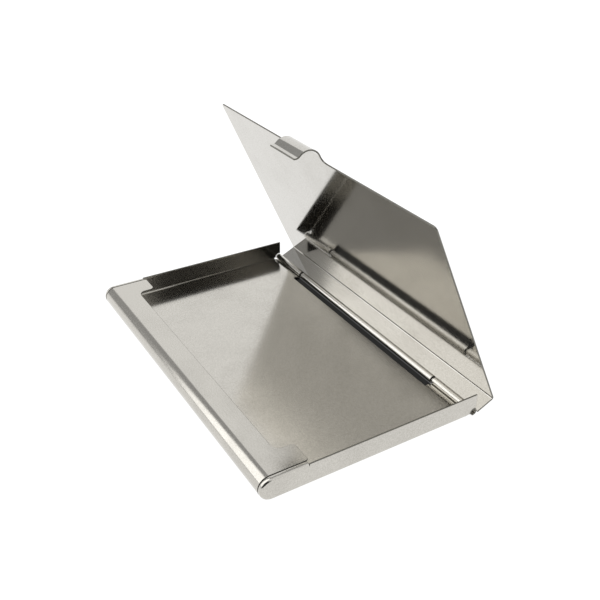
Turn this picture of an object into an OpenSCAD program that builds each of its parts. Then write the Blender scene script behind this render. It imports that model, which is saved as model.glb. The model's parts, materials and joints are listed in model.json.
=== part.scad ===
// Business card case of folded sheet steel: a tray, a hinged lid and the wire they turn on.
// Frame: origin at the middle of the tray's underside, +Z up, -Y towards the rolled front,
// +X along the hinge. The lid is drawn part open, as the case stands on a desk.

/* [Sheet] */
// Thickness of the steel sheet
sheet = 0.4; // [0.3:0.05:0.5]
// Outer radius of every fold
fold_r = 0.7; // [0.6:0.05:0.9]

/* [Tray] */
// Width of the case along the hinge
case_w = 94; // [90:1:100]
// Depth of the case from the rolled front to the back of the closed lid
case_d = 59.5; // [57:0.5:64]
// Height of the tray's end walls and of its rolled front
tray_h = 5.7; // [5.2:0.1:6.5]
// Depth of the lip over the cards, from the front
lip_d = 7.8; // [6:0.2:9]
// Depth of the lip's two end tabs, from the front
tab_d = 12.5; // [11:0.5:15]
// Distance from the end wall's outer face to the inner side of a tab
tab_w = 7.6; // [6:0.2:10]
// Width of the rim that is turned in round each end of the rolled front
rim_w = 1.2; // [1:0.1:1.6]
// Gap between that rim and the rolled front
seam = 0.2; // [0.15:0.05:0.3]

/* [Lid] */
// Height of the closed case over the tray's underside
closed_h = 7.0; // [6.8:0.1:8]
// Distance from the front of the tray back to the lid's front edge
lid_setback = 2.5; // [1:0.5:4]
// Radius of the lid's front corners
lid_corner_r = 1; // [0.5:0.5:4]
// Width of the thumb tab
thumb_w = 11; // [8:0.5:16]
// Radius of the thumb tab's roll over the front, at mid sheet
thumb_r = 3.4; // [3.2:0.1:4]
// Angle of the lid from closed
open_angle = 65; // [0:5:90]

/* [Hinge] */
// Outer radius of the curled knuckles
knuckle_r = 1.05; // [1.0:0.05:1.2]
// Height of the hinge line over the tray's underside
hinge_z = 0.6; // [0.5:0.1:1.2]
// Radius of the hinge wire
pin_r = 0.6; // [0.5:0.05:0.6]
// Radial play of the lid's knuckle on the wire
pin_play = 0.05; // [0.02:0.01:0.08]
// Length of the lid's long knuckle
lid_knuckle_l = 63.2; // [50:0.2:70]
// Gap between the long knuckle and each tray knuckle
knuckle_gap = 0.7; // [0.3:0.1:1]

/* [Hidden] */
$fn = 96;
small = 0.01;
half_w = case_w / 2;
front_y = -case_d / 2;
hinge_y = case_d / 2 - knuckle_r;
nose_r = tray_h / 2;
nose_y = front_y + nose_r;
spine_gap = 0.2;
wall_back = case_d / 2 - sheet - spine_gap;
lip_half_w = half_w - rim_w - seam;
tab_x = half_w - tab_w;
tab_outer_r = 1.2;
tab_fillet_r = 2;
tab_seam_r = 0.6;
rim_back = front_y + tab_d - tab_seam_r;
fold_in = fold_r - sheet;
tray_knuckle_in = lid_knuckle_l / 2 + knuckle_gap;
knuckle_recess = 0.15;
tray_knuckle_out = half_w - knuckle_recess;
pin_grip = 0.01;
tray_bore_r = pin_r - pin_grip;
lid_bore_r = pin_r + pin_play;
pin_recess = 0.9;
pin_l = 2 * (half_w - pin_recess);
slot_l = 3.05;
slot_front = hinge_y - slot_l;
tongue_out = half_w - fold_r;
ramp_l = 1.8;
ramp_r = knuckle_r - 0.03;
ramp_deg = asin(ramp_r / norm([ramp_l, hinge_z])) - atan2(hinge_z, ramp_l);
ramp_lap = 8;
ramp_back = hinge_y - ramp_l;
wall_clear_r = knuckle_r + 0.2;
notch_h = 0.9 * wall_clear_r;
tray_curl_end = 190;
lid_curl_end = 69;
lid_curl_start = 55;
below = 1;
steel = [0.75, 0.74, 0.71];
wire = [0.62, 0.61, 0.58];
lid_top = closed_h - hinge_z;
lid_back = knuckle_r;
lid_front = front_y + lid_setback - hinge_y;
spine_trim = knuckle_r - 0.1;
thumb_y = front_y + 0.9 - hinge_y;
thumb_wrap = 20;
thumb_flare_r = 1.7;
thumb_flare = 62;
thumb_fillet_r = 1.5;

// Extrudes a section drawn as (Y, Z) along X.
module along_x(x0, x1) {
    translate([x0, 0, 0]) rotate([90, 0, 90]) linear_extrude(x1 - x0) children();
}

// Extrudes a section drawn as (X, Z) along Y.
module along_y(y0, y1) {
    translate([0, y1, 0]) rotate([90, 0, 0]) linear_extrude(y1 - y0) children();
}

// Part of a disc between two angles less than 180 degrees apart.
module pie(r, a0, a1) {
    mid = (a0 + a1) / 2;
    intersection() {
        circle(r);
        polygon([
            [0, 0],
            3 * r * [cos(a0), sin(a0)],
            3 * r * [cos(mid), sin(mid)],
            3 * r * [cos(a1), sin(a1)]
        ]);
    }
}

// Bent strip of sheet seen on edge, about its own centre.
module bent_strip(r_out, a0, a1) {
    difference() {
        pie(r_out, a0, a1);
        circle(r_out - sheet);
    }
}

// Trough outline with round lower corners: half width w, foot z0, corner radius r, top z1.
module trough(w, z0, r, z1) {
    translate([-w, z0 + r]) square([2 * w, z1 - z0 - r]);
    translate([-w + r, z0]) square([2 * (w - r), r]);
    for (s = [-1, 1]) translate([s * (w - r), z0 + r]) circle(r);
}

// Floor and both end walls seen on edge, with walls of height h.
module pan_section(h) {
    difference() {
        trough(half_w, 0, fold_r, h);
        trough(half_w - sheet, sheet, fold_in, h + 1);
    }
}

// Face and turned-in rim of an end, as (distance from the nose axis, depth from the face).
module rim_section() {
    difference() {
        rim_outline(nose_r, 0, fold_r);
        rim_outline(nose_r - sheet, sheet, fold_in);
    }
}

module rim_outline(r, z0, corner) {
    square_top = rim_w + z0;
    translate([0, z0]) square([r - corner, square_top - z0]);
    translate([0, z0 + corner]) square([r, square_top - z0 - corner]);
    translate([r - corner, z0 + corner]) circle(corner);
}

// Half-round end of the front with its rim, on the +X side.
module end_cap() {
    translate([half_w, nose_y, nose_r]) rotate([0, -90, 0]) rotate([0, 0, 180])
        rotate_extrude(angle = 180) rim_upper();
}

// The rim section cut to its own depth.
module rim_upper() {
    intersection() {
        rim_section();
        square([nose_r + 1, rim_w]);
    }
}

// Straight rim along the top of the end wall, beside a lip tab, on the +X side.
module rim_strip() {
    along_y(nose_y, rim_back) translate([half_w, nose_r]) rotate(90) rim_upper();
}

// Rolled front and the lip that it runs into, seen on edge.
module front_section() {
    translate([nose_y, nose_r]) difference() {
        circle(nose_r);
        circle(nose_r - sheet);
        translate([0, -nose_r]) square(2 * nose_r);
    }
    translate([nose_y, tray_h - sheet]) square([front_y + lip_d - nose_y, sheet]);
}

// Tab at the +X end of the lip, seen from above.
module tab_outline() {
    y0 = front_y + lip_d - sheet;
    y1 = front_y + tab_d;
    difference() {
        translate([tab_x - tab_fillet_r, y0]) square([lip_half_w - tab_x + tab_fillet_r, y1 - y0]);
        translate([tab_x - tab_fillet_r, front_y + lip_d + tab_fillet_r]) circle(tab_fillet_r);
        translate([tab_x - tab_fillet_r, front_y + lip_d + tab_fillet_r])
            square([tab_fillet_r, case_d]);
        corner_cut(tab_x, y1, tab_outer_r, 1);
        corner_cut(lip_half_w, y1, tab_seam_r, -1);
    }
}

// What a round takes off a rear corner at (x, y): side 1 is a left corner, -1 a right one.
module corner_cut(x, y, r, side) {
    difference() {
        translate([side > 0 ? x - 1 : x - r, y - r]) square([r + 1, r + 1]);
        translate([x + side * r, y - r]) circle(r);
    }
}

// Curled knuckle from x0 to x1 about the hinge line, open between the angles a0 and a1.
module curl(x0, x1, bore_r, a0, a1) {
    along_x(x0, x1) difference() {
        circle(knuckle_r);
        circle(bore_r);
        pie(2 * knuckle_r, a0, a1);
    }
}

// The folded pan without its knuckles.
module pan() {
    difference() {
        union() {
            along_y(nose_y, rim_back) pan_section(nose_r);
            along_y(rim_back, wall_back) pan_section(tray_h);
        }
        translate([0, hinge_y, hinge_z]) along_x(-case_w, case_w) {
            circle(wall_clear_r);
            translate([0, -2 * knuckle_r]) square([case_d, 2 * knuckle_r + notch_h]);
        }
        floor_cut(-case_w, case_w, ramp_back);
        floor_cut(-tray_knuckle_in, tray_knuckle_in, slot_front);
    }
}

// What is cut from the floor between x0 and x1, from y0 back.
module floor_cut(x0, x1, y0) {
    translate([x0, y0, -below]) cube([x1 - x0, case_d, below + sheet + small]);
}

// Tongue that runs down from the floor into a tray knuckle, seen on edge about the hinge line.
module tongue_section() {
    n = [sin(ramp_deg), cos(ramp_deg)];
    foot = [-ramp_l, -hinge_z];
    polygon([foot, -ramp_r * n, (sheet - knuckle_r) * n, foot + [0, sheet]]);
}

module tray() color(steel) {
    pan();
    along_x(-lip_half_w, lip_half_w) front_section();
    for (s = [0, 1]) mirror([s, 0, 0]) {
        end_cap();
        rim_strip();
        translate([0, 0, tray_h - sheet]) linear_extrude(sheet) tab_outline();
        translate([0, hinge_y, hinge_z]) {
            along_x(tray_knuckle_in, tongue_out) tongue_section();
            curl(tray_knuckle_in, tray_knuckle_out, tray_bore_r, tray_curl_end, 270 - ramp_deg - ramp_lap);
        }
    }
}

// Lid plate seen from above, about the hinge line.
module lid_outline() {
    y0 = lid_front;
    y1 = lid_back - fold_r;
    translate([-half_w, y0 + lid_corner_r]) square([case_w, y1 - y0 - lid_corner_r]);
    translate([-half_w + lid_corner_r, y0])
        square([case_w - 2 * lid_corner_r, lid_corner_r + small]);
    for (s = [-1, 1]) {
        translate([s * (half_w - lid_corner_r), y0 + lid_corner_r]) circle(lid_corner_r);
        scale([s, 1]) difference() {
            translate([thumb_w / 2 - small, y0 - thumb_fillet_r])
                square([thumb_fillet_r + small, thumb_fillet_r + small]);
            translate([thumb_w / 2 + thumb_fillet_r, y0 - thumb_fillet_r]) circle(thumb_fillet_r);
        }
    }
    translate([-thumb_w / 2, thumb_y]) square([thumb_w, y0 - thumb_y + small]);
}

// Thumb tab seen from the end: rolled down over the front, then flared out.
module thumb_section() {
    r = thumb_r;
    cz = lid_top - sheet / 2 - r;
    a = 180 + thumb_wrap;
    join = [thumb_y + r * cos(a), cz + r * sin(a)];
    flare = join + thumb_flare_r * [cos(a), sin(a)];
    translate([thumb_y, cz]) bent_strip(r + sheet / 2, 90 - small, a + small);
    translate(flare) bent_strip(thumb_flare_r + sheet / 2, thumb_wrap - thumb_flare, thumb_wrap);
}

module lid() color(steel) translate([0, hinge_y, hinge_z]) rotate([-open_angle, 0, 0]) {
    translate([0, 0, lid_top - sheet]) linear_extrude(sheet) lid_outline();
    along_x(-half_w, half_w) {
        translate([lid_back - fold_r, lid_top - fold_r]) bent_strip(fold_r, 0, 90);
        translate([lid_back - sheet, spine_trim])
            square([sheet, lid_top - fold_r - spine_trim]);
    }
    along_x(-lid_knuckle_l / 2, lid_knuckle_l / 2)
        translate([lid_back - sheet, 0]) square([sheet, spine_trim + small]);
    curl(-lid_knuckle_l / 2, lid_knuckle_l / 2, lid_bore_r, lid_curl_start, lid_curl_end);
    along_x(-thumb_w / 2, thumb_w / 2) thumb_section();
}

module hinge_pin() color(wire) translate([-pin_l / 2, hinge_y, hinge_z]) rotate([0, 90, 0]) {
    cylinder(h = pin_l, r = pin_r);
}

tray();
lid();
hinge_pin();
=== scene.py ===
"""Looks for a business card case folded from satin stainless sheet.

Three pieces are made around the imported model, each where the CAD says:

* the tray, one blank with two end walls, a rolled front, a lip with two end tabs and two
  knuckles curled up at the back;
* the lid, one blank with a spine, one long curled knuckle and a thumb tab;
* the drawn wire that both turn on.

Each blank is drawn as its outer skin with Blender's edit tools, folded where the press brake
folds it, and only then given the thickness of the sheet and its rounded, deburred edges.
"""

import json
import logging
import math
from dataclasses import dataclass, field
from enum import Enum
from typing import Callable, Sequence

import bmesh
import bpy
from mathutils import Matrix, Vector


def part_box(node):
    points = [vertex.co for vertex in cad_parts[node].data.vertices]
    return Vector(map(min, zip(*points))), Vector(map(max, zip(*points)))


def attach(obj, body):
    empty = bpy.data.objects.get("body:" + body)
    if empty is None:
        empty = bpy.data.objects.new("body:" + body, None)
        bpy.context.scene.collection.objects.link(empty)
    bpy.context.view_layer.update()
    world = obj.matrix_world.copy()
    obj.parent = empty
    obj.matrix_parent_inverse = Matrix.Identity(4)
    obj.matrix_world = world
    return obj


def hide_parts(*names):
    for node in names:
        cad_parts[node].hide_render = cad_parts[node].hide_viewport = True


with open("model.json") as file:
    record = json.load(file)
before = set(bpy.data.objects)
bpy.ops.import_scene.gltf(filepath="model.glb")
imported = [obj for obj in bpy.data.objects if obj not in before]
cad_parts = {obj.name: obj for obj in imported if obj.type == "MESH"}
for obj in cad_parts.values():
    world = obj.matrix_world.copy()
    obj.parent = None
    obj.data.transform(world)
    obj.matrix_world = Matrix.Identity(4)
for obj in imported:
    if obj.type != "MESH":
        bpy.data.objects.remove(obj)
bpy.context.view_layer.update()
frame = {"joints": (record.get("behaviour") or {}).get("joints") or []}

logging.basicConfig(level=logging.INFO, format="%(name)s: %(message)s")
LOG = logging.getLogger("card_case")

MM = 0.001
TINY = 1e-6
CLOSE = 0.01 * MM
HALF_TURN = math.pi
QUARTER_TURN = math.pi / 2

# Number of flats that each round is drawn with.
FOLD_STEPS = 8
NOSE_STEPS = 32
CURL_STEPS = 40
NOTCH_STEPS = 12
FILLET_STEPS = 8
TAB_CORNER_STEPS = 8
SEAM_CORNER_STEPS = 6
LID_CORNER_STEPS = 10
THUMB_FILLET_STEPS = 6
THUMB_STEPS = 20
FLARE_STEPS = 12

Test = Callable[[Vector], bool]
Point = Sequence[float]


class Axis(Enum):
    """Direction of a fold line, or one that a cutting plane faces."""

    X = (1.0, 0.0, 0.0)
    Y = (0.0, 1.0, 0.0)


def near(a: float, b: float) -> bool:
    """True if two lengths are the same to within a hundredth of a millimetre."""
    return abs(a - b) < CLOSE


def apply_modifier(piece: bpy.types.Object, kind: str, **settings: object) -> None:
    """Adds a modifier to the active piece and applies it.

    Args:
        piece: The active piece.
        kind: Blender's name for the modifier.
        **settings: Its settings.
    """
    modifier = piece.modifiers.new(kind.lower(), kind)
    for key, value in settings.items():
        setattr(modifier, key, value)
    bpy.ops.object.modifier_apply(modifier=modifier.name)


# ---- sheet metal


@dataclass
class Blank:
    """One sheet-metal blank, drawn as its outer skin in edit mode.

    Attributes:
        name: Name of the finished piece.
        gauge: Thickness of the sheet in metres.
        edge: Radius left on the sheared edges by deburring, in metres.
        edge_steps: Number of flats that this radius is drawn with.
        sharp_from: Angle in radians from which an edge counts as sheared, not folded.
        flat_weight: How far the large flats rule the shading where they run into folds.
        obj: The blank's object, made by start.
    """

    name: str
    gauge: float
    edge: float = 0.1 * MM
    edge_steps: int = 2
    sharp_from: float = math.radians(50)
    flat_weight: int = 60
    obj: bpy.types.Object = field(init=False)

    def start(self, low: Point, high: Point) -> None:
        """Adds the flat that the blank is drawn from, lying at its place.

        Args:
            low: Lowest corner of the flat.
            high: Highest corner of the flat, at the same height.
        """
        bpy.ops.object.select_all(action="DESELECT")
        middle = [(a + b) / 2 for a, b in zip(low, high)]
        bpy.ops.mesh.primitive_plane_add(size=1, location=middle)
        self.obj = bpy.context.object
        self.obj.name = self.name
        self.obj.data.name = self.name
        self.obj.scale = (high[0] - low[0], high[1] - low[1], 1)
        bpy.ops.object.transform_apply(location=True, rotation=False, scale=True)
        bpy.ops.object.mode_set(mode="EDIT")
        bpy.ops.mesh.select_mode(type="VERT")

    def pick(self, test: Test) -> None:
        """Selects the points that pass a test, and the edges and faces between them.

        Args:
            test: Says whether the point at a place is picked.
        """
        bpy.ops.mesh.select_all(action="DESELECT")
        mesh = bmesh.from_edit_mesh(self.obj.data)
        for vert in mesh.verts:
            vert.select_set(bool(test(vert.co)))
        mesh.select_flush_mode()
        bmesh.update_edit_mesh(self.obj.data)

    def extrude(self, dx: float = 0.0, dy: float = 0.0, dz: float = 0.0) -> None:
        """Draws the selected edges out into new sheet.

        Args:
            dx: Distance along X in metres.
            dy: Distance along Y in metres.
            dz: Distance along Z in metres.
        """
        bpy.ops.mesh.extrude_region_move(TRANSFORM_OT_translate={"value": (dx, dy, dz)})

    def extrude_back(self, start: float, stops: Sequence[float]) -> None:
        """Draws the selected edges back along Y, with a line across at each stop.

        Args:
            start: Where the edges are.
            stops: Places along Y that they are drawn to, in order.
        """
        for stop in stops:
            self.extrude(dy=stop - start)
            start = stop

    def fold(self, centre: Point, axis: Axis, angle: float, steps: int) -> None:
        """Rolls the selected edges on round a fold line.

        Args:
            centre: A point on the fold line.
            axis: Direction of the fold line.
            angle: Angle of the fold in radians, by the right-hand rule.
            steps: Number of flats that the round is drawn with.
        """
        # The spin tool turns the other way, so its angle is negated.
        bpy.ops.mesh.spin(
            steps=steps, angle=-angle, center=centre, axis=axis.value, use_auto_merge=False
        )

    def scribe(self, x: float, test: Test | None = None) -> None:
        """Cuts a line across the blank, or across a part of it, square to the hinge.

        Args:
            x: Place of the line along X.
            test: Picks the points of the part, or None for the whole blank.
        """
        if test is None:
            bpy.ops.mesh.select_all(action="SELECT")
        else:
            self.pick(test)
        bpy.ops.mesh.bisect(plane_co=(x, 0, 0), plane_no=Axis.X.value)

    def slide(self, dx: float) -> None:
        """Moves the selected points along X."""
        bpy.ops.transform.translate(value=(dx, 0, 0))

    def narrow(self, factor: float) -> None:
        """Scales the selected edge's width about the middle of the case."""
        bpy.ops.transform.resize(value=(factor, 1, 1), center_override=(0, 0, 0))

    def round_corner(self, test: Test, radius: float, steps: int) -> None:
        """Rounds a square corner of the blank.

        Args:
            test: Picks the corner points.
            radius: Radius of the corner in metres.
            steps: Number of flats that the round is drawn with.
        """
        self.pick(test)
        bpy.ops.mesh.bevel(
            offset=radius, offset_type="OFFSET", segments=steps, profile=0.5, affect="VERTICES"
        )

    def cut_away(self, test: Test) -> None:
        """Deletes the faces whose middle passes a test.

        Args:
            test: Says whether the face with its middle at a place is deleted.
        """
        bpy.ops.mesh.select_all(action="DESELECT")
        mesh = bmesh.from_edit_mesh(self.obj.data)
        for face in mesh.faces:
            face.select_set(bool(test(face.calc_center_median())))
        bmesh.update_edit_mesh(self.obj.data)
        bpy.ops.mesh.select_mode(type="FACE")
        bpy.ops.mesh.delete(type="FACE")
        bpy.ops.mesh.select_mode(type="VERT")

    def close_loop(self, test: Test) -> None:
        """Fills the closed loop of edges between the picked points with one face.

        Args:
            test: Picks the points of the loop.
        """
        self.pick(test)
        bpy.ops.mesh.edge_face_add()

    def weld(self) -> None:
        """Joins points that lie on each other."""
        bpy.ops.mesh.select_all(action="SELECT")
        bpy.ops.mesh.remove_doubles(threshold=TINY)

    def face_outwards(self, test: Test, outwards: Point) -> None:
        """Makes all faces agree, and turns them so that one known face points outwards.

        Args:
            test: Picks the middle of the known face.
            outwards: Direction that this face should point in.
        """
        bpy.ops.mesh.select_all(action="SELECT")
        bpy.ops.mesh.normals_make_consistent(inside=False)
        mesh = bmesh.from_edit_mesh(self.obj.data)
        known = max(
            (f for f in mesh.faces if test(f.calc_center_median())), key=lambda f: f.calc_area()
        )
        if known.normal.dot(Vector(outwards)) < 0:
            bpy.ops.mesh.flip_normals()

    def finish_edit(self) -> None:
        """Leaves edit mode."""
        bpy.ops.object.mode_set(mode="OBJECT")

    def thicken(self) -> None:
        """Gives the skin the sheet's thickness, inwards, with the cut edges in slot 1."""
        apply_modifier(
            self.obj,
            "SOLIDIFY",
            thickness=self.gauge,
            offset=-1.0,
            use_even_offset=True,
            use_quality_normals=True,
            material_offset_rim=1,
        )

    def deburr(self) -> None:
        """Rounds the cut edges slightly and keeps the flats flat where they run into folds."""
        apply_modifier(
            self.obj,
            "BEVEL",
            width=self.edge,
            segments=self.edge_steps,
            limit_method="ANGLE",
            angle_limit=self.sharp_from,
            use_clamp_overlap=False,
            material=1,
        )
        bpy.ops.object.shade_smooth()
        apply_modifier(
            self.obj,
            "WEIGHTED_NORMAL",
            mode="FACE_AREA",
            weight=self.flat_weight,
            keep_sharp=False,
        )


# ---- finishes


def linear(hex_code: str) -> tuple[float, float, float, float]:
    """Turns an sRGB hex colour into the linear values that shaders work in.

    Args:
        hex_code: Six hexadecimal digits.

    Returns:
        Linear red, green, blue and an alpha of 1.
    """
    parts = [int(hex_code[i : i + 2], 16) / 255 for i in (0, 2, 4)]
    values = [c / 12.92 if c <= 0.04045 else ((c + 0.055) / 1.055) ** 2.4 for c in parts]
    return (values[0], values[1], values[2], 1.0)


def add_node(
    tree: bpy.types.NodeTree,
    kind: str,
    settings: dict[str, object] | None = None,
    values: dict[str | int, object] | None = None,
    links: dict[str | int, bpy.types.NodeSocket] | None = None,
) -> bpy.types.Node:
    """Adds one node with its settings, fixed inputs and links.

    Args:
        tree: Node tree that the node goes into.
        kind: Blender's type name of the node.
        settings: Node properties by name.
        values: Fixed input values by socket name or index.
        links: Sockets of other nodes that feed inputs of this one.

    Returns:
        The new node.
    """
    node = tree.nodes.new(kind)
    for key, value in (settings or {}).items():
        setattr(node, key, value)
    for key, value in (values or {}).items():
        node.inputs[key].default_value = value
    for key, socket in (links or {}).items():
        tree.links.new(socket, node.inputs[key])
    return node


def start_material(
    name: str,
) -> tuple[bpy.types.Material, bpy.types.NodeTree, bpy.types.Node]:
    """Starts a material.

    Args:
        name: Name of the material.

    Returns:
        The material, its node tree and its standard shader.
    """
    material = bpy.data.materials.new(name)
    material.use_nodes = True
    return material, material.node_tree, material.node_tree.nodes["Principled BSDF"]


class Change(Enum):
    """How a level changes from its first value to its last."""

    EVEN = "LINEAR"
    SMOOTH = "SMOOTHSTEP"


@dataclass(frozen=True)
class Ramp:
    """A level that changes between two values of what it follows.

    Attributes:
        start: Value where the change starts.
        end: Value where the change ends.
        first: Level up to the start.
        last: Level from the end on.
        change: How the level changes in between.
    """

    start: float
    end: float
    first: float
    last: float
    change: Change = Change.EVEN

    def settings(self) -> dict[str, object]:
        """The settings of a node that maps one range to another."""
        return {"interpolation_type": self.change.value}

    def values(self) -> dict[str | int, object]:
        """The input values of a node that maps one range to another."""
        names = ("From Min", "From Max", "To Min", "To Max")
        return dict(zip(names, (self.start, self.end, self.first, self.last)))


@dataclass(frozen=True)
class SatinStainless:
    """304 stainless sheet with a fine satin finish.

    The coil is polished with a fine belt and then softened, so it mirrors large shapes with a
    blur that grows with their distance. The belt leaves very fine lines along the sheet and
    fine pits between them, and handling leaves faint cloudy smudges.

    Attributes:
        name: Name of the material.
        colour: Steel's own slightly warm reflection colour.
        dull: Reflection colour under a faint smudge.
        roughness: Roughness of the clean surface.
        smudge_roughness: What the heaviest smudge adds to it.
        smudges: Which part of the cloud pattern counts as smudged, and how heavily.
        smudge_dulls: How far the heaviest smudge turns the colour to the dull one.
        specks: Which part of the pit pattern turns the colour to the dull one, and how far.
        line_pitch: Spacing of the belt lines, in metres. Real ones are about 0.05 mm apart;
            they are drawn coarser so that they show at all.
        line_scale: Scale of their pattern along the lines, against 1 across them.
        line_depth: Depth of the belt lines and of the pits, in metres.
        cloud_size: Width of a smudge in metres.
        grain_size: Width of the fine pits that the polish leaves, in metres.
    """

    name: str = "satin_stainless_sheet"
    colour: str = "CECBC4"
    dull: str = "B4B1AA"
    roughness: float = 0.14
    smudge_roughness: float = 0.04
    smudges: Ramp = Ramp(0.45, 0.75, 0.0, 1.0)
    smudge_dulls: float = 0.3
    specks: Ramp = Ramp(0.3, 0.7, 0.0, 0.8)
    line_pitch: float = 0.22 * MM
    line_scale: float = 0.02
    line_depth: float = 0.0006 * MM
    cloud_size: float = 14 * MM
    grain_size: float = 0.3 * MM

    def build(self) -> bpy.types.Material:
        """Makes the material.

        Returns:
            The finished material.
        """
        material, tree, shader = start_material(self.name)
        place = add_node(tree, "ShaderNodeTexCoord").outputs["Object"]
        stretched = add_node(
            tree,
            "ShaderNodeMapping",
            values={"Scale": (self.line_scale, 1.0, 1.0)},
            links={"Vector": place},
        )
        clouds, lines, grain = (
            add_node(
                tree,
                "ShaderNodeTexNoise",
                values={"Scale": 1 / pitch, "Detail": detail, "Roughness": crumble},
                links={"Vector": vector},
            ).outputs["Fac"]
            for pitch, detail, crumble, vector in (
                (self.cloud_size, 4.0, 0.6, place),
                (self.line_pitch, 3.0, 0.65, stretched.outputs["Vector"]),
                (self.grain_size, 2.0, 0.7, place),
            )
        )
        height = add_node(
            tree, "ShaderNodeMath", settings={"operation": "ADD"}, links={0: lines, 1: grain}
        )
        bump = add_node(
            tree,
            "ShaderNodeBump",
            values={"Strength": 1.0, "Distance": self.line_depth},
            links={"Height": height.outputs["Value"]},
        )
        smudge = add_node(
            tree, "ShaderNodeMapRange", values=self.smudges.values(), links={"Value": clouds}
        )
        speck = add_node(
            tree, "ShaderNodeMapRange", values=self.specks.values(), links={"Value": grain}
        )
        dulled = add_node(
            tree,
            "ShaderNodeMath",
            settings={"operation": "MULTIPLY_ADD"},
            values={1: self.smudge_dulls},
            links={0: smudge.outputs["Result"], 2: speck.outputs["Result"]},
        )
        tint = add_node(
            tree,
            "ShaderNodeMix",
            settings={"data_type": "RGBA"},
            values={6: linear(self.colour), 7: linear(self.dull)},
            links={"Factor": dulled.outputs["Value"]},
        )
        smudged = self.roughness + self.smudge_roughness
        rough = add_node(
            tree,
            "ShaderNodeMapRange",
            values=Ramp(0.0, 1.0, self.roughness, smudged).values(),
            links={"Value": smudge.outputs["Result"]},
        )
        shader.inputs["Metallic"].default_value = 1.0
        tree.links.new(tint.outputs[2], shader.inputs["Base Color"])
        tree.links.new(rough.outputs["Result"], shader.inputs["Roughness"])
        tree.links.new(bump.outputs["Normal"], shader.inputs["Normal"])
        return material


@dataclass(frozen=True)
class BrightStainless(SatinStainless):
    """The same sheet from a finer belt, so that it mirrors more sharply."""

    name: str = "bright_stainless_sheet"
    colour: str = "CECCC7"
    roughness: float = 0.075
    smudge_roughness: float = 0.02


@dataclass(frozen=True)
class PatternedSteel:
    """Bare steel whose roughness follows a pattern that its making left.

    Attributes:
        name: Name of the material.
        colour: Colour of the metal.
        roughness: Mean roughness.
        spread: How far the roughness goes either way.
        pitch: Width of a patch or spacing of the lines, in metres.
        along_scale: Scale of the pattern along the hinge, against 1 across it.
    """

    name: str
    colour: str
    roughness: float
    spread: float
    pitch: float
    along_scale: float = 1.0

    def build(self) -> bpy.types.Material:
        """Makes the material.

        Returns:
            The finished material.
        """
        material, tree, shader = start_material(self.name)
        place = add_node(tree, "ShaderNodeTexCoord").outputs["Object"]
        stretched = add_node(
            tree,
            "ShaderNodeMapping",
            values={"Scale": (self.along_scale, 1.0, 1.0)},
            links={"Vector": place},
        )
        pattern = add_node(
            tree,
            "ShaderNodeTexNoise",
            values={"Scale": 1 / self.pitch, "Detail": 2.0},
            links={"Vector": stretched.outputs["Vector"]},
        )
        low, high = self.roughness - self.spread, self.roughness + self.spread
        rough = add_node(
            tree,
            "ShaderNodeMapRange",
            values=Ramp(0.0, 1.0, low, high).values(),
            links={"Value": pattern.outputs["Fac"]},
        )
        shader.inputs["Metallic"].default_value = 1.0
        shader.inputs["Base Color"].default_value = linear(self.colour)
        tree.links.new(rough.outputs["Result"], shader.inputs["Roughness"])
        return material


@dataclass(frozen=True)
class ShearedEdge(PatternedSteel):
    """Cut edge of the stainless sheet, blanked in a die and lightly tumbled.

    The die leaves half the edge burnished and half torn, so it scatters light more than the
    polished face and reads as a thin grey line.
    """

    name: str = "sheared_stainless_edge"
    colour: str = "7A7872"
    roughness: float = 0.42
    spread: float = 0.08
    pitch: float = 0.3 * MM


@dataclass(frozen=True)
class DrawnWire(PatternedSteel):
    """Stainless wire, drawn through a die and cropped to length.

    Drawing leaves lines along the wire and a slightly greyer, tighter skin than the sheet's.
    """

    name: str = "drawn_stainless_wire"
    colour: str = "A8A69E"
    roughness: float = 0.26
    spread: float = 0.07
    pitch: float = 0.15 * MM
    along_scale: float = 0.03


@dataclass(frozen=True)
class Finishes:
    """The finishes of the case, made once and shared by its pieces.

    Attributes:
        sheet: Satin sheet of the tray.
        bright_sheet: Smoother sheet of the lid.
        edge: Cut edges of both blanks.
        wire: Drawn skin of the hinge wire.
    """

    sheet: bpy.types.Material
    bright_sheet: bpy.types.Material
    edge: bpy.types.Material
    wire: bpy.types.Material


# ---- the case


@dataclass(frozen=True)
class CaseSizes:
    """Sizes that the pieces share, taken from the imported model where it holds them.

    Attributes:
        half_w: Half the width of the case.
        front_y: Place of the rolled front.
        tray_h: Height of the tray's walls.
        hinge_y: Place of the hinge line.
        hinge_z: Height of the hinge line.
        knuckle_r: Outer radius of the knuckles.
        open_angle: Angle of the lid at rest from closed, in radians.
        gauge: Thickness of the sheet.
        fold_r: Outer radius of the folds.
    """

    half_w: float
    front_y: float
    tray_h: float
    hinge_y: float
    hinge_z: float
    knuckle_r: float
    open_angle: float
    gauge: float = 0.4 * MM
    fold_r: float = 0.7 * MM

    @classmethod
    def from_frame(cls) -> "CaseSizes":
        """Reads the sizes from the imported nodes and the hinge's record.

        Returns:
            The sizes in metres.
        """
        low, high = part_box("tray")
        joint = frame["joints"][0]
        _, hinge_y, hinge_z = joint["pos_m"]
        return cls(
            half_w=high.x,
            front_y=low.y,
            tray_h=high.z,
            hinge_y=hinge_y,
            hinge_z=hinge_z,
            knuckle_r=hinge_z - low.z,
            open_angle=-math.radians(joint["range_deg"][0]),
        )


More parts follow.
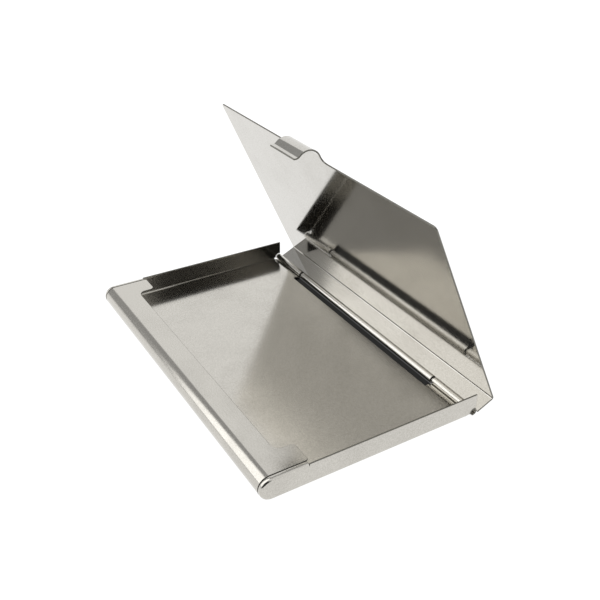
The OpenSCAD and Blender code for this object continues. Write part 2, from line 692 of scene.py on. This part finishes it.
@dataclass
class Tray:
    """The tray: a pan with a rolled front, a lip, turned-in rims and two curled knuckles.

    Attributes:
        sizes: Sizes shared with the other pieces.
        finishes: The case's finishes.
        lip_d: Depth of the lip from the front.
        tab_d: Depth of the lip's end tabs from the front.
        tab_w: Distance from the end wall's outer face to the inner side of a tab.
        tab_outer_r: Radius of a tab's inner corner.
        tab_fillet_r: Radius where a tab runs into the lip.
        tab_seam_r: Radius of a tab's corner beside the seam.
        rim_w: Width of the turned-in rim at each end.
        seam: Gap between the rim and the lip.
        wall_back: Place of the end wall's rear edge.
        notch_r: Distance from the hinge line to the front of the end wall's notch.
        slot_l: Distance from the hinge line to the front edge of the slot.
        slot_half_w: Half the length of the slot.
        ramp_l: Distance from the hinge line to the bend line in the floor.
        curl_end: Angle about the hinge line where a knuckle's curl ends.
        knuckle_out: Place of a knuckle's outer end.
        body: Body that the tray moves with.
    """

    sizes: CaseSizes
    finishes: Finishes
    lip_d: float = 7.8 * MM
    tab_d: float = 12.5 * MM
    tab_w: float = 7.6 * MM
    tab_outer_r: float = 1.2 * MM
    tab_fillet_r: float = 2.0 * MM
    tab_seam_r: float = 0.6 * MM
    rim_w: float = 1.2 * MM
    seam: float = 0.2 * MM
    wall_back: float = 29.15 * MM
    notch_r: float = 1.25 * MM
    slot_l: float = 3.05 * MM
    slot_half_w: float = 32.3 * MM
    ramp_l: float = 1.8 * MM
    curl_end: float = math.radians(190)
    knuckle_out: float = 46.85 * MM
    body: str = "tray_body"

    def build(self) -> bpy.types.Object:
        """Makes and dresses the tray.

        Returns:
            The finished piece.
        """
        blank = Blank("tray_sheet", self.sizes.gauge)
        self._draw_pan(blank)
        self._draw_knuckle(blank)
        self._draw_end(blank)
        self._draw_front(blank)
        blank.weld()
        blank.face_outwards(lambda c: near(c.z, 0), (0, 0, -1))
        blank.finish_edit()
        apply_modifier(
            blank.obj, "MIRROR", use_axis=(True, False, False), merge_threshold=TINY
        )
        bpy.ops.object.mode_set(mode="EDIT")
        blank.weld()
        blank.face_outwards(lambda c: near(c.z, 0), (0, 0, -1))
        blank.finish_edit()
        blank.obj.data.materials.append(self.finishes.sheet)
        blank.obj.data.materials.append(self.finishes.edge)
        blank.thicken()
        blank.deburr()
        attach(blank.obj, self.body)
        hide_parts("tray")
        return blank.obj

    @property
    def nose_r(self) -> float:
        """Radius of the rolled front."""
        return self.sizes.tray_h / 2

    @property
    def nose_y(self) -> float:
        """Place of the rolled front's centre line."""
        return self.sizes.front_y + self.nose_r

    @property
    def lip_x(self) -> float:
        """Place of the lip's end, beside the seam."""
        return self.sizes.half_w - self.rim_w - self.seam

    @property
    def rim_x(self) -> float:
        """Place of the turned-in rim's inner side."""
        return self.sizes.half_w - self.rim_w

    @property
    def fold_x(self) -> float:
        """Place where the floor runs into the end wall's fold."""
        return self.sizes.half_w - self.sizes.fold_r

    @property
    def rim_back(self) -> float:
        """Place where the turned-in rim ends."""
        return self.sizes.front_y + self.tab_d - self.tab_seam_r

    @property
    def slot_front(self) -> float:
        """Front edge of the slot that the lid's knuckle turns in."""
        return self.sizes.hinge_y - self.slot_l

    @property
    def ramp_front(self) -> float:
        """Bend line where the floor starts down into the knuckles."""
        return self.sizes.hinge_y - self.ramp_l

    @property
    def notch_front(self) -> float:
        """Front of the notch that clears the hinge in each end wall."""
        return self.sizes.hinge_y - self.notch_r

    def _draw_pan(self, blank: Blank) -> None:
        """Draws half the floor, its fold and the lower half of the end wall."""
        s = self.sizes
        blank.start((0, self.nose_y, 0), (self.lip_x, self.rim_back, 0))
        blank.pick(lambda c: near(c.x, self.lip_x))
        blank.extrude(dx=self.rim_x - self.lip_x)
        blank.extrude(dx=self.fold_x - self.rim_x)
        blank.fold((self.fold_x, 0, s.fold_r), Axis.Y, -QUARTER_TURN, FOLD_STEPS)
        blank.extrude(dz=self.nose_r - s.fold_r)
        blank.pick(lambda c: near(c.y, self.rim_back))
        blank.extrude_back(self.rim_back, (self.slot_front, self.ramp_front, self.notch_front))
        blank.scribe(self.slot_half_w)
        blank.cut_away(lambda c: c.x < self.slot_half_w and c.y > self.slot_front)
        blank.cut_away(lambda c: c.y > self.ramp_front and c.z < s.gauge)

    def _draw_knuckle(self, blank: Blank) -> None:
        """Bends the floor's tongue down and curls it up round the wire."""
        s = self.sizes
        reach = math.hypot(self.ramp_l, s.hinge_z)
        slope = math.asin(s.knuckle_r / reach) - math.atan2(s.hinge_z, self.ramp_l)
        length = math.sqrt(reach**2 - s.knuckle_r**2)
        hinge = Vector((0, s.hinge_y, s.hinge_z))
        blank.pick(
            lambda c: near(c.y, self.ramp_front)
            and near(c.z, 0)
            and c.x > self.slot_half_w - TINY
        )
        blank.extrude(dy=length * math.cos(slope), dz=-length * math.sin(slope))
        blank.fold(hinge, Axis.X, self.curl_end + QUARTER_TURN + slope, CURL_STEPS)
        blank.pick(
            lambda c: near(c.x, self.fold_x) and near((c - hinge).yz.length, s.knuckle_r)
        )
        blank.extrude(dx=self.knuckle_out - self.fold_x)

    def _draw_end(self, blank: Blank) -> None:
        """Draws the half-round end, its rim and the upper half of the end wall."""
        s = self.sizes

        def on_end(c: Vector) -> bool:
            """True on the rim and the wall, level with the rolled front's centre line."""
            return near(c.y, self.nose_y) and c.x > self.rim_x - TINY

        blank.pick(lambda c: on_end(c) and c.z < self.nose_r + TINY)
        blank.fold((0, self.nose_y, self.nose_r), Axis.X, -HALF_TURN, NOSE_STEPS)
        blank.weld()
        blank.pick(lambda c: on_end(c) and c.z > self.nose_r - TINY)
        blank.extrude(dy=self.rim_back - self.nose_y)
        blank.weld()
        top = s.tray_h - s.fold_r
        blank.pick(
            lambda c: near(c.y, self.rim_back)
            and near(c.x, s.half_w)
            and self.nose_r - TINY < c.z < top + TINY
        )
        blank.extrude_back(
            self.rim_back,
            (self.slot_front, self.ramp_front, self.notch_front, self.wall_back),
        )
        blank.weld()
        blank.pick(
            lambda c: near(c.x, s.half_w) and near(c.z, top) and c.y > self.rim_back - TINY
        )
        blank.extrude(dz=s.fold_r)
        self._draw_notch(blank)

    def _draw_notch(self, blank: Blank) -> None:
        """Draws the back of the end wall, with its round notch over the hinge."""
        s = self.sizes
        rise = s.fold_r - s.hinge_z
        corner = Vector((s.half_w, self.notch_front, s.fold_r))
        hinge = (0, s.hinge_y, s.hinge_z)
        radius = math.hypot(self.notch_r, rise)
        first = math.atan2(rise, -self.notch_r)
        last = math.acos((self.wall_back - s.hinge_y) / radius)
        blank.pick(lambda c: (c - corner).length < CLOSE)
        blank.fold(hinge, Axis.X, last - first, NOTCH_STEPS)
        blank.weld()
        end_z = s.hinge_z + radius * math.sin(last)
        blank.pick(
            lambda c: near(c.x, s.half_w) and near(c.y, self.wall_back) and near(c.z, end_z)
        )
        blank.extrude(dz=self.nose_r - end_z)
        blank.weld()
        blank.close_loop(
            lambda c: near(c.x, s.half_w)
            and c.y > self.notch_front - TINY
            and s.fold_r - TINY < c.z < self.nose_r + TINY
        )

    def _draw_front(self, blank: Blank) -> None:
        """Rolls the floor up into the front, the lip and the lip's end tab."""
        s = self.sizes
        tab_x = s.half_w - self.tab_w
        root_x = tab_x - self.tab_fillet_r
        lip_y = s.front_y + self.lip_d

        def pick_edge(at_y: float, low_x: float, high_x: float) -> None:
            """Picks the points of the lip's edge between two places."""
            blank.pick(
                lambda c: near(c.y, at_y)
                and near(c.z, s.tray_h)
                and low_x - TINY < c.x < high_x + TINY
            )

        blank.pick(
            lambda c: near(c.y, self.nose_y) and near(c.z, 0) and c.x < self.lip_x + TINY
        )
        blank.fold((0, self.nose_y, self.nose_r), Axis.X, -HALF_TURN, NOSE_STEPS)
        blank.extrude(dy=lip_y - self.nose_y)
        blank.scribe(
            root_x,
            lambda c: c.z > s.tray_h - TINY
            and c.y < lip_y + TINY
            and c.x < self.lip_x + TINY,
        )
        pick_edge(lip_y, root_x, self.lip_x)
        y, x = 0.0, 0.0
        for i in range(1, FILLET_STEPS + 1):
            turn = QUARTER_TURN * i / FILLET_STEPS
            next_y = self.tab_fillet_r * (1 - math.cos(turn))
            next_x = self.tab_fillet_r * math.sin(turn)
            blank.extrude(dy=next_y - y)
            pick_edge(lip_y + next_y, root_x, tab_x)
            blank.slide(next_x - x)
            pick_edge(lip_y + next_y, root_x, self.lip_x)
            y, x = next_y, next_x
        tab_y = s.front_y + self.tab_d
        blank.extrude(dy=tab_y - lip_y - self.tab_fillet_r)
        for corner_x, radius, steps in (
            (tab_x, self.tab_outer_r, TAB_CORNER_STEPS),
            (self.lip_x, self.tab_seam_r, SEAM_CORNER_STEPS),
        ):
            blank.round_corner(
                lambda c, at_x=corner_x: near(c.y, tab_y)
                and near(c.z, s.tray_h)
                and near(c.x, at_x),
                radius,
                steps,
            )


@dataclass
class Lid:
    """The lid: a flat plate with a spine, one long curled knuckle and a thumb tab.

    It is drawn closed, about the hinge line, and then turned to its angle at rest.

    Attributes:
        sizes: Sizes shared with the other pieces.
        finishes: The case's finishes.
        top_z: Height of the closed plate over the hinge line.
        front_setback: Distance from the tray's front back to the plate's front edge.
        corner_r: Radius of the plate's front corners.
        spine_trim: Height over the hinge line at which the spine ends beside the knuckle.
        knuckle_half_l: Half the length of the knuckle.
        curl_end: Angle about the hinge line where the knuckle's curl ends.
        thumb_half_w: Half the width of the thumb tab.
        thumb_fillet_r: Radius where the thumb tab runs into the plate.
        thumb_setback: Distance from the tray's front back to the middle of the tab's roll.
        thumb_r: Outer radius of the tab's roll.
        thumb_turn: Angle in radians that the tab is rolled down by.
        flare_r: Inner radius of the flare at the tab's end.
        flare_turn: Angle in radians of the flare.
        body: Body that the lid moves with.
    """

    sizes: CaseSizes
    finishes: Finishes
    top_z: float = 6.4 * MM
    front_setback: float = 2.5 * MM
    corner_r: float = 1.0 * MM
    spine_trim: float = 0.95 * MM
    knuckle_half_l: float = 31.6 * MM
    curl_end: float = math.radians(69)
    thumb_half_w: float = 5.5 * MM
    thumb_fillet_r: float = 1.5 * MM
    thumb_setback: float = 0.9 * MM
    thumb_r: float = 3.6 * MM
    thumb_turn: float = math.radians(110)
    flare_r: float = 1.5 * MM
    flare_turn: float = math.radians(62)
    body: str = "lid_body"

    def build(self) -> bpy.types.Object:
        """Makes and dresses the lid.

        Returns:
            The finished piece.
        """
        s = self.sizes
        blank = Blank("lid_sheet", s.gauge)
        self._draw_plate(blank)
        self._draw_spine(blank)
        self._draw_thumb_tab(blank)
        blank.weld()
        blank.face_outwards(lambda c: near(c.z, self.top_z), (0, 0, 1))
        blank.finish_edit()
        blank.obj.data.materials.append(self.finishes.bright_sheet)
        blank.obj.data.materials.append(self.finishes.edge)
        blank.thicken()
        blank.obj.location = (0, s.hinge_y, s.hinge_z)
        blank.obj.rotation_euler = (-s.open_angle, 0, 0)
        bpy.ops.object.transform_apply(location=True, rotation=True, scale=False)
        blank.deburr()
        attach(blank.obj, self.body)
        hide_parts("lid")
        return blank.obj

    @property
    def front_y(self) -> float:
        """Front edge of the closed plate, from the hinge line."""
        return self.sizes.front_y + self.front_setback - self.sizes.hinge_y

    @property
    def back_y(self) -> float:
        """Outer face of the spine, from the hinge line."""
        return self.sizes.knuckle_r

    def _draw_plate(self, blank: Blank) -> None:
        """Draws the flat plate with its rounded front corners."""
        s = self.sizes
        fold_y = self.back_y - s.fold_r
        blank.start((-s.half_w, self.front_y, self.top_z), (s.half_w, fold_y, self.top_z))
        for side in (-1, 1):
            blank.scribe(side * (self.thumb_half_w + self.thumb_fillet_r))
            blank.scribe(side * self.knuckle_half_l)
        blank.round_corner(
            lambda c: near(c.y, self.front_y) and near(abs(c.x), s.half_w),
            self.corner_r,
            LID_CORNER_STEPS,
        )

    def _draw_spine(self, blank: Blank) -> None:
        """Folds the back edge down into the spine and curls its middle round the wire."""
        s = self.sizes
        fold_y = self.back_y - s.fold_r
        blank.pick(lambda c: near(c.y, fold_y))
        blank.fold((0, fold_y, self.top_z - s.fold_r), Axis.X, -QUARTER_TURN, FOLD_STEPS)
        blank.extrude(dz=self.spine_trim - self.top_z + s.fold_r)
        blank.pick(
            lambda c: near(c.y, self.back_y)
            and near(c.z, self.spine_trim)
            and abs(c.x) < self.knuckle_half_l + TINY
        )
        blank.extrude(dz=-self.spine_trim)
        blank.fold((0, 0, 0), Axis.X, self.curl_end - 2 * HALF_TURN, CURL_STEPS)

    def _draw_thumb_tab(self, blank: Blank) -> None:
        """Draws the thumb tab out of the front edge, rolls it down and flares its end."""
        root = self.thumb_half_w + self.thumb_fillet_r
        blank.pick(lambda c: near(c.y, self.front_y) and abs(c.x) < root + TINY)
        y, half = 0.0, root
        for i in range(1, THUMB_FILLET_STEPS + 1):
            turn = QUARTER_TURN * i / THUMB_FILLET_STEPS
            next_y = self.thumb_fillet_r * (1 - math.cos(turn))
            next_half = root - self.thumb_fillet_r * math.sin(turn)
            blank.extrude(dy=y - next_y)
            blank.narrow(next_half / half)
            y, half = next_y, next_half
        roll_y = self.sizes.front_y + self.thumb_setback - self.sizes.hinge_y
        roll_z = self.top_z - self.thumb_r
        blank.extrude(dy=roll_y - self.front_y + self.thumb_fillet_r)
        blank.fold((0, roll_y, roll_z), Axis.X, self.thumb_turn, THUMB_STEPS)
        out = QUARTER_TURN + self.thumb_turn
        reach = self.thumb_r + self.flare_r
        # The flare bends the other way, so its centre is on the far side of the skin.
        flare = (0, roll_y + reach * math.cos(out), roll_z + reach * math.sin(out))
        blank.fold(flare, Axis.X, -self.flare_turn, FLARE_STEPS)


@dataclass
class HingeWire:
    """The straight wire in the knuckles, with its ends chamfered.

    Attributes:
        sizes: Sizes shared with the other pieces.
        finishes: The case's finishes.
        sides: Number of flats round the wire.
        chamfer: Size of the chamfer on each end.
        chamfer_steps: Number of flats that the chamfer is drawn with.
        sharp_from: Angle in radians from which an edge is chamfered.
        smooth_to: Angle in radians up to which the shading runs on over an edge.
        body: Body that the wire moves with.
    """

    sizes: CaseSizes
    finishes: Finishes
    sides: int = 32
    chamfer: float = 0.15 * MM
    chamfer_steps: int = 2
    sharp_from: float = math.radians(60)
    smooth_to: float = math.radians(40)
    body: str = "tray_body"

    def build(self) -> bpy.types.Object:
        """Makes and dresses the wire.

        Returns:
            The finished piece.
        """
        low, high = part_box("hinge_pin")
        bpy.ops.object.select_all(action="DESELECT")
        bpy.ops.mesh.primitive_cylinder_add(
            vertices=self.sides,
            radius=(high.z - low.z) / 2,
            depth=high.x - low.x,
            location=(0, self.sizes.hinge_y, self.sizes.hinge_z),
            rotation=(0, QUARTER_TURN, 0),
        )
        wire = bpy.context.object
        wire.name = "hinge_wire"
        wire.data.name = "hinge_wire"
        bpy.ops.object.transform_apply(location=True, rotation=True, scale=True)
        apply_modifier(
            wire,
            "BEVEL",
            width=self.chamfer,
            segments=self.chamfer_steps,
            limit_method="ANGLE",
            angle_limit=self.sharp_from,
        )
        bpy.ops.object.shade_smooth_by_angle(angle=self.smooth_to)
        wire.data.materials.append(self.finishes.wire)
        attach(wire, self.body)
        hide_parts("hinge_pin")
        return wire


# ---- studio


# Gap left between the case and the table top.
TABLE_GAP = 0.02 * MM
# Direction of the dark flag, a black cloth on a stand that keeps one side of the room unlit.
FLAG_TOWARDS = (0.8, -0.56, 0.22)


@dataclass(frozen=True)
class Softbox:
    """One soft rectangular light.

    Attributes:
        name: Name of the light.
        away: Direction from the case to the light.
        along: Direction that its length is nearest to.
        distance: Distance from the case in metres.
        size: Width and length in metres.
        radiance: Brightness of its face.
    """

    name: str
    away: tuple[float, float, float]
    along: tuple[float, float, float]
    distance: float
    size: tuple[float, float]
    radiance: float

    def build(self) -> None:
        """Makes the light, facing the case."""
        data = bpy.data.lights.new(self.name, "AREA")
        data.shape = "RECTANGLE"
        data.size, data.size_y = self.size
        # The face shows the light's power divided by four times its area.
        data.energy = 4 * self.radiance * self.size[0] * self.size[1]
        light = bpy.data.objects.new(self.name, data)
        bpy.context.scene.collection.objects.link(light)
        away = Vector(self.away).normalized()
        across = Vector(self.along).cross(away).normalized()
        turn = Matrix((across, away.cross(across), away)).transposed().to_4x4()
        light.matrix_world = Matrix.Translation(away * self.distance) @ turn
        light.visible_camera = False


# Directions that the panels' long sides run in.
SLANT = (0.332, 0.692, 0.64)
UPRIGHT = (0, 0, 1)
LEVEL = (0, 1, 0)
SOFTBOXES = (
    Softbox("panel_front_left", (-0.286, -0.574, 0.768), SLANT, 1.5, (1.6, 2.7), 1.15),
    Softbox("panel_back_left", (-0.937, 0.309, 0.152), SLANT, 1.5, (1.7, 2.7), 0.52),
    Softbox("panel_low_left", (-0.643, -0.766, 0.05), UPRIGHT, 2.4, (1.65, 0.5), 0.38),
    Softbox("panel_back_right", (0.66, 0.69, 0.29), UPRIGHT, 1.5, (1.6, 0.9), 0.55),
    Softbox("panel_above", (0.45, 0.35, 0.82), LEVEL, 1.5, (1.4, 1.4), 0.45),
)


@dataclass(frozen=True)
class PaintedGlowTable:
    """Table top that glows white, with painted light and painted shade in its glow.

    The glow stands in for light falling on the table: the top shows white, with no grain and no
    hard shadow. Painted shade: the glow goes out on the flagged side and fades away from a
    painted
    pool of light. Painted shadow: it is cut off under the case, so that the slot shows black.

    Attributes:
        name: Name of the material.
        colour: Colour of the top where the glow is off; dark, so that the slot shows painted
            shade.
        roughness: Roughness of the cast face.
        glow: Colour of the painted glow.
        flagged: Painted shade, the glow's brightness by distance towards the flag.
        glow_centre: Middle of the painted pool of light.
        fading: Painted falloff, the glow's brightness by distance from that middle.
        rising: Painted light, the glow's brightness by place along X, higher towards -X.
        shadow_centre: Middle of the painted shadow under the case.
        shadow_half_size: Half the size of the painted shadow.
        shadow_edge: Brightness by distance out from the painted shadow's edge.
    """

    name: str = "table_painted_glow"
    colour: str = "404040"
    roughness: float = 0.9
    glow: str = "FFFFFF"
    # Painted shade, painted falloff and painted light in the glow.
    flagged: Ramp = Ramp(0.4, 1.3, 1.0, 0.02, Change.SMOOTH)
    glow_centre: tuple[float, float, float] = (-0.2, 0.15, 0.0)
    fading: Ramp = Ramp(0.42, 1.2, 1.0, 0.6, Change.SMOOTH)
    rising: Ramp = Ramp(0.1, -0.15, 1.0, 1.1)
    # Painted shadow under the case.
    shadow_centre: tuple[float, float, float] = (0.0, 1.5 * MM, 0.0)
    shadow_half_size: tuple[float, float, float] = (44 * MM, 26.5 * MM, 0.0)
    shadow_edge: Ramp = Ramp(0.0, 1.5 * MM, 0.0, 1.0)

    def build(self) -> bpy.types.Material:
        """Makes the material.

        Returns:
            The finished material.
        """
        material, tree, shader = start_material(self.name)
        # Painted shade: the top is dark where the glow is cut off, so the case's slot shows
        # black.
        shader.inputs["Base Color"].default_value = linear(self.colour)
        shader.inputs["Roughness"].default_value = self.roughness
        shader.inputs["Specular IOR Level"].default_value = 0.0
        # Painted light: the top glows white in place of being lit.
        shader.inputs["Emission Color"].default_value = linear(self.glow)
        place = add_node(tree, "ShaderNodeTexCoord").outputs["Object"]
        side = add_node(tree, "ShaderNodeSeparateXYZ", links={"Vector": place})
        shaded, apart = (
            add_node(
                tree,
                "ShaderNodeVectorMath",
                settings={"operation": operation},
                values={1: other},
                links={0: place},
            ).outputs["Value"]
            for operation, other in (("DOT_PRODUCT", FLAG_TOWARDS), ("DISTANCE", self.glow_centre))
        )
        # Painted shadow: the glow is cut off under the case.
        level = self._painted_shadow(tree, place)
        # Painted shade towards the flag, painted falloff from the glow's centre, painted light
        # towards -X.
        for followed, ramp in (
            (shaded, self.flagged),
            (apart, self.fading),
            (side.outputs["X"], self.rising),
        ):
            step = add_node(
                tree,
                "ShaderNodeMapRange",
                settings=ramp.settings(),
                values=ramp.values(),
                links={"Value": followed},
            )
            product = add_node(
                tree,
                "ShaderNodeMath",
                settings={"operation": "MULTIPLY"},
                links={0: level, 1: step.outputs["Result"]},
            )
            level = product.outputs["Value"]
        tree.links.new(level, shader.inputs["Emission Strength"])
        return material

    def _painted_shadow(
        self, tree: bpy.types.NodeTree, place: bpy.types.NodeSocket
    ) -> bpy.types.NodeSocket:
        """Adds the nodes of the painted shadow, which cuts the glow off under the case.

        Args:
            tree: Node tree of the material.
            place: Socket that gives the place on the table.

        Returns:
            Socket that is 0 under the case and 1 round it.
        """
        outside = place
        for operation, offset in (
            ("SUBTRACT", self.shadow_centre),
            ("ABSOLUTE", None),
            ("SUBTRACT", self.shadow_half_size),
        ):
            step = add_node(
                tree,
                "ShaderNodeVectorMath",
                settings={"operation": operation},
                values={} if offset is None else {1: offset},
                links={0: outside},
            )
            outside = step.outputs["Vector"]
        split = add_node(tree, "ShaderNodeSeparateXYZ", links={"Vector": outside})
        widest = add_node(
            tree,
            "ShaderNodeMath",
            settings={"operation": "MAXIMUM"},
            links={0: split.outputs["X"], 1: split.outputs["Y"]},
        )
        # Painted shadow: 0 under the case, rising to 1 past its edge.
        mask = add_node(
            tree,
            "ShaderNodeMapRange",
            settings=self.shadow_edge.settings(),
            values=self.shadow_edge.values(),
            links={"Value": widest.outputs["Value"]},
        )
        return mask.outputs["Result"]


@dataclass
class Studio:
    """A table with a painted glow in a softly lit pale room, with one side of the room flagged
    off.

    Attributes:
        table_z: Height of the table top.
        table_size: Width of the table top.
        room: Brightness of the room by how nearly a direction points at the flag.
        camera_at: Place of the camera.
        azimuth: Direction that the camera looks in, in degrees from +Y towards -X.
        elevation: Angle in degrees that it looks down by.
        roll: Angle in degrees that it is tilted sideways by.
        lens: Focal length in millimetres.
        sensor: Width of the sensor in millimetres.
        clip: Nearest and furthest distance that it sees, in metres.
    """

    table_z: float
    table_size: float = 12.0
    room: Ramp = Ramp(0.86, 0.62, 0.03, 0.42, Change.SMOOTH)
    camera_at: tuple[float, float, float] = (0.15509, -0.08706, 0.12201)
    azimuth: float = 58.43
    elevation: float = 30.65
    roll: float = 0.54
    lens: float = 48.23
    sensor: float = 36.0
    clip: tuple[float, float] = (0.01, 100.0)

    def build(self) -> None:
        """Makes the table, the room, the lights and the camera."""
        self._build_table()
        self._build_room()
        for softbox in SOFTBOXES:
            softbox.build()
        self._build_camera()
        bpy.context.scene.view_settings.view_transform = "Standard"

    def _build_table(self) -> None:
        """Makes the table top, white from its painted light, with a painted shadow under the
        case.
        """
        bpy.ops.object.select_all(action="DESELECT")
        bpy.ops.mesh.primitive_plane_add(size=self.table_size, location=(0, 0, self.table_z))
        table = bpy.context.object
        table.name = "table_with_painted_glow"
        # Painted light and painted shadow on the table top.
        table.data.materials.append(PaintedGlowTable().build())

    def _build_room(self) -> None:
        """Makes the room, pale all round but for the flagged side, by direction only."""
        world = bpy.data.worlds.new("studio_room")
        bpy.context.scene.world = world
        world.use_nodes = True
        tree = world.node_tree
        place = add_node(tree, "ShaderNodeTexCoord").outputs["Generated"]
        towards = add_node(
            tree,
            "ShaderNodeVectorMath",
            settings={"operation": "DOT_PRODUCT"},
            values={1: FLAG_TOWARDS},
            links={0: place},
        )
        ramp = add_node(
            tree,
            "ShaderNodeMapRange",
            settings=self.room.settings(),
            values=self.room.values(),
            links={"Value": towards.outputs["Value"]},
        )
        tree.links.new(ramp.outputs["Result"], tree.nodes["Background"].inputs["Color"])

    def _build_camera(self) -> None:
        """Makes the camera at the angle that the case is seen from."""
        az, el, roll = (math.radians(a) for a in (self.azimuth, self.elevation, self.roll))
        ahead = Vector((-math.sin(az) * math.cos(el), math.cos(az) * math.cos(el), -math.sin(el)))
        right = Vector((math.cos(az), math.sin(az), 0))
        up = right.cross(ahead)
        tilted_right = math.cos(roll) * right + math.sin(roll) * up
        tilted_up = -math.sin(roll) * right + math.cos(roll) * up
        turn = Matrix((tilted_right, tilted_up, -ahead)).transposed().to_4x4()
        data = bpy.data.cameras.new("camera")
        data.lens = self.lens
        data.sensor_width = self.sensor
        data.clip_start, data.clip_end = self.clip
        camera = bpy.data.objects.new("camera", data)
        bpy.context.scene.collection.objects.link(camera)
        camera.matrix_world = Matrix.Translation(self.camera_at) @ turn
        bpy.context.scene.camera = camera


def main() -> None:
    """Builds the case and its studio in order, and reports each piece."""
    sizes = CaseSizes.from_frame()
    # The knuckles hang lowest, and the table is a hair below them.
    Studio(table_z=sizes.hinge_z - sizes.knuckle_r - TABLE_GAP).build()
    finishes = Finishes(
        sheet=SatinStainless().build(),
        bright_sheet=BrightStainless().build(),
        edge=ShearedEdge().build(),
        wire=DrawnWire().build(),
    )
    for maker in (Tray(sizes, finishes), Lid(sizes, finishes), HingeWire(sizes, finishes)):
        piece = maker.build()
        LOG.info("%s: %d faces, rides %s", piece.name, len(piece.data.polygons), maker.body)


if __name__ == "__main__":
    main()
